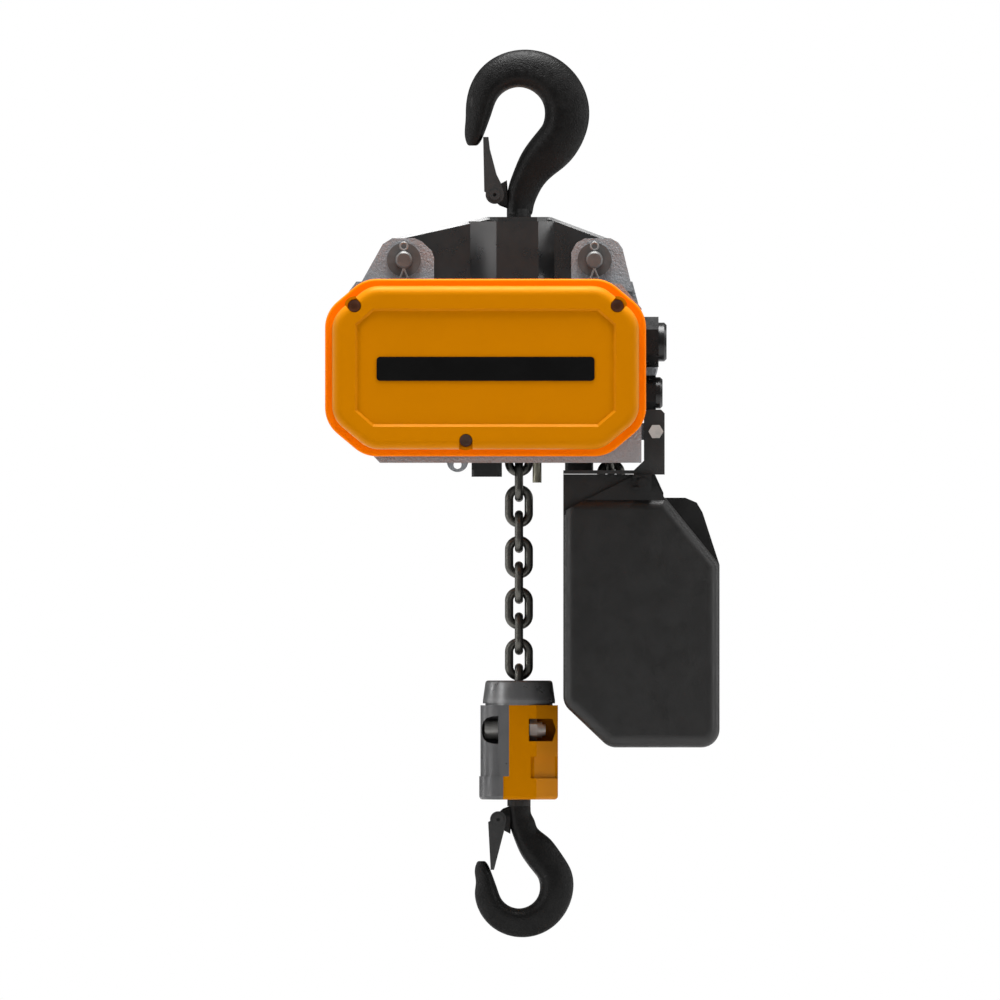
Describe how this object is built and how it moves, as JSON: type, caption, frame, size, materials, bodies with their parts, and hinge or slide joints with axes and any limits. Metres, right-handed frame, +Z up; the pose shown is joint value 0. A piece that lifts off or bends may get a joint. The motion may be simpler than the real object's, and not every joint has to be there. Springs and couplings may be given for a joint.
{
  "type": "electric chain hoist",
  "caption": "Electric chain hoist with a swivel suspension hook, finned motor, load chain, hook block, safety-latch hooks and a chain container.",
  "frame": {"origin": "the saddle of the suspension hook, the top of its bowl, where the supporting ring bears", "axes": "+Z up, towards what the hoist hangs from; +X towards the chain container; -Y towards the electrical cover"},
  "size_m": [0.3249, 0.37, 0.731],
  "materials": {
    "black_powder_coat": "fine textured",
    "dark_steel": "satin",
    "beam_steel": "satin",
    "spring_steel": "satin",
    "bright_steel": "satin",
    "cast_aluminium": "rough cast",
    "orange_cover": "satin",
    "orange_block": "satin",
    "grey_block": "satin",
    "black_plate": "matte",
    "stator_steel": "laminated",
    "copper": "varnished",
    "gear_steel": "ground",
    "brake_lining": "matte",
    "chain_steel": "dark oiled",
    "black_plastic": "matte",
    "gland_plastic": "glossy",
    "container_plastic": "fine textured",
    "bracket_steel": "satin",
    "circuit_board": "printed board"
  },
  "bodies": {
    "suspension_hook_body": {"suspension_hook": "black_powder_coat", "suspension_latch_rivet": "dark_steel", "suspension_latch_spring": "spring_steel", "suspension_hook_nut": "dark_steel"},
    "suspension_latch_body": {"suspension_latch": "dark_steel"},
    "hoist_body": {"suspension_thrust_bearing": "dark_steel", "suspension_beam": "beam_steel", "suspension_pins": "bright_steel", "pin_washers": "dark_steel", "split_pins": "bright_steel", "chain_housing": "cast_aluminium", "front_cover": "orange_cover", "name_plate": "black_plate", "cover_screws": "bright_steel", "rear_cover": "orange_cover", "motor_housing": "cast_aluminium", "gear_case_plate": "cast_aluminium", "brake_plate": "cast_aluminium", "ball_bearings": "bright_steel", "stator_core": "stator_steel", "stator_windings": "copper", "brake_magnet": "stator_steel", "brake_coil": "copper", "brake_flange": "bright_steel", "limit_switch": "black_plastic", "chain_guide_left": "black_plastic", "chain_guide_right": "black_plastic", "chain_inlet": "black_plastic", "chain_stripper": "black_plastic", "upper_gland": "gland_plastic", "lower_gland": "gland_plastic", "control_board": "circuit_board", "contactor": "black_plastic", "container_bracket": "bracket_steel", "bracket_bolts": "bright_steel", "chain_container": "container_plastic", "container_clamp": "black_plastic", "wheel_chain": "chain_steel", "slack_chain": "chain_steel"},
    "rotor_body": {"rotor_core": "stator_steel", "motor_shaft": "bright_steel", "brake_disc": "brake_lining"},
    "brake_armature_body": {"brake_armature": "bright_steel"},
    "layshaft_body": {"layshaft": "bright_steel", "layshaft_gear": "gear_steel"},
    "load_wheel_body": {"load_wheel": "gear_steel", "output_gear": "gear_steel"},
    "limit_pin_body": {"limit_pin": "bright_steel"},
    "hook_block_body": {"load_chain_top": "chain_steel", "load_chain": "chain_steel", "block_cap": "grey_block", "block_left_shell": "grey_block", "block_right_shell": "orange_block", "block_bolt": "bright_steel", "load_thrust_bearing": "dark_steel"},
    "load_hook_body": {"load_hook": "black_powder_coat", "load_hook_nut": "dark_steel", "load_latch_rivet": "dark_steel", "load_latch_spring": "spring_steel"},
    "load_latch_body": {"load_latch": "dark_steel"}
  },
  "joints": [
    {"name": "suspension_latch_hinge", "type": "hinge", "parent": "suspension_hook_body", "child": "suspension_latch_body", "pos_m": [-0.0199, 0, -0.0885], "axis": [0, 1, 0], "range_deg": [0, 22], "stiffness_Nm_per_rad": 0.02, "springref_deg": -28.65, "deforming": ["suspension_latch_spring"]},
    {"name": "hoist_swivel", "type": "hinge", "parent": "suspension_hook_body", "child": "hoist_body", "pos_m": [0, 0, -0.13], "axis": [0, 0, 1], "continuous": true},
    {"name": "motor_spin", "type": "hinge", "parent": "hoist_body", "child": "rotor_body", "pos_m": [0.01955, 0.1, -0.23584], "axis": [0, 1, 0], "range_deg": [0, 4114]},
    {"name": "layshaft_spin", "type": "hinge", "parent": "hoist_body", "child": "layshaft_body", "pos_m": [-0.02993, 0.04, -0.2235], "axis": [0, 1, 0], "range_deg": [-840, 10]},
    {"name": "load_wheel_spin", "type": "hinge", "parent": "hoist_body", "child": "load_wheel_body", "pos_m": [0.03165, 0, -0.24], "axis": [0, 1, 0], "range_deg": [-10, 220]},
    {"name": "load_lift", "type": "slide", "parent": "hoist_body", "child": "hook_block_body", "axis": [0, 0, 1], "range_m": [-0.001, 0.121], "deforming": ["load_chain_top", "wheel_chain"]},
    {"name": "load_hook_swivel", "type": "hinge", "parent": "hook_block_body", "child": "load_hook_body", "pos_m": [0, 0, -0.56], "axis": [0, 0, 1], "continuous": true},
    {"name": "load_latch_hinge", "type": "hinge", "parent": "load_hook_body", "child": "load_latch_body", "pos_m": [-0.0171, 0, -0.6029], "axis": [0, -1, 0], "range_deg": [0, 22], "stiffness_Nm_per_rad": 0.02, "springref_deg": -28.65, "deforming": ["load_latch_spring"]},
    {"name": "limit_pin_slide", "type": "slide", "parent": "hoist_body", "child": "limit_pin_body", "axis": [0, 0, 1], "range_m": [0, 0.004], "stiffness_N_per_m": 200, "springref_m": -0.004},
    {"name": "brake_armature_slide", "type": "slide", "parent": "hoist_body", "child": "brake_armature_body", "axis": [0, -1, 0], "range_m": [0, 0.0003], "stiffness_N_per_m": 20000, "springref_m": -0.003}
  ],
  "couplings": [
    {"joint": "layshaft_spin", "follows": "motor_spin", "ratio": -0.2},
    {"joint": "load_wheel_spin", "follows": "motor_spin", "ratio": 0.05},
    {"joint": "load_lift", "follows": "motor_spin", "m_per_rad": 0.0016711}
  ]
}
